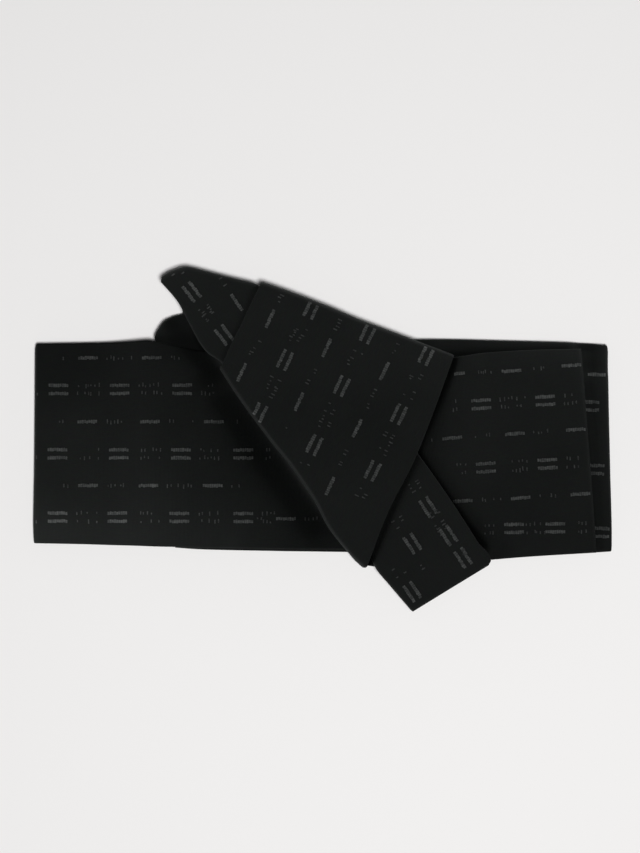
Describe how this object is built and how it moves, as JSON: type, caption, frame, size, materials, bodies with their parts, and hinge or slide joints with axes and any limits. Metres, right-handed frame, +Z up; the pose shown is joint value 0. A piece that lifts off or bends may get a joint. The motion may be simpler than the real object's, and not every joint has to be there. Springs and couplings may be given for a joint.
{
  "type": "obi belt",
  "caption": "Woven waist sash laid flat as a closed loop, with a flat folded knot at the front, its cover, tip and two free ends.",
  "frame": {"origin": "under the middle of the bounding box, on the surface that the back layer lies on", "axes": "+X along the flattened loop to the side of the knot cover's free end, +Y towards the long edge that the knot's tip stands past, +Z up out of the knot"},
  "size_m": [0.419, 0.2482, 0.0257],
  "materials": {
    "black_weave": "fine ribbed weave, dull, with grey woven dashes"
  },
  "bodies": {
    "root": {"waist_band": "black_weave", "knot_cover": "black_weave", "hand_end": "black_weave"}
  },
  "joints": []
}
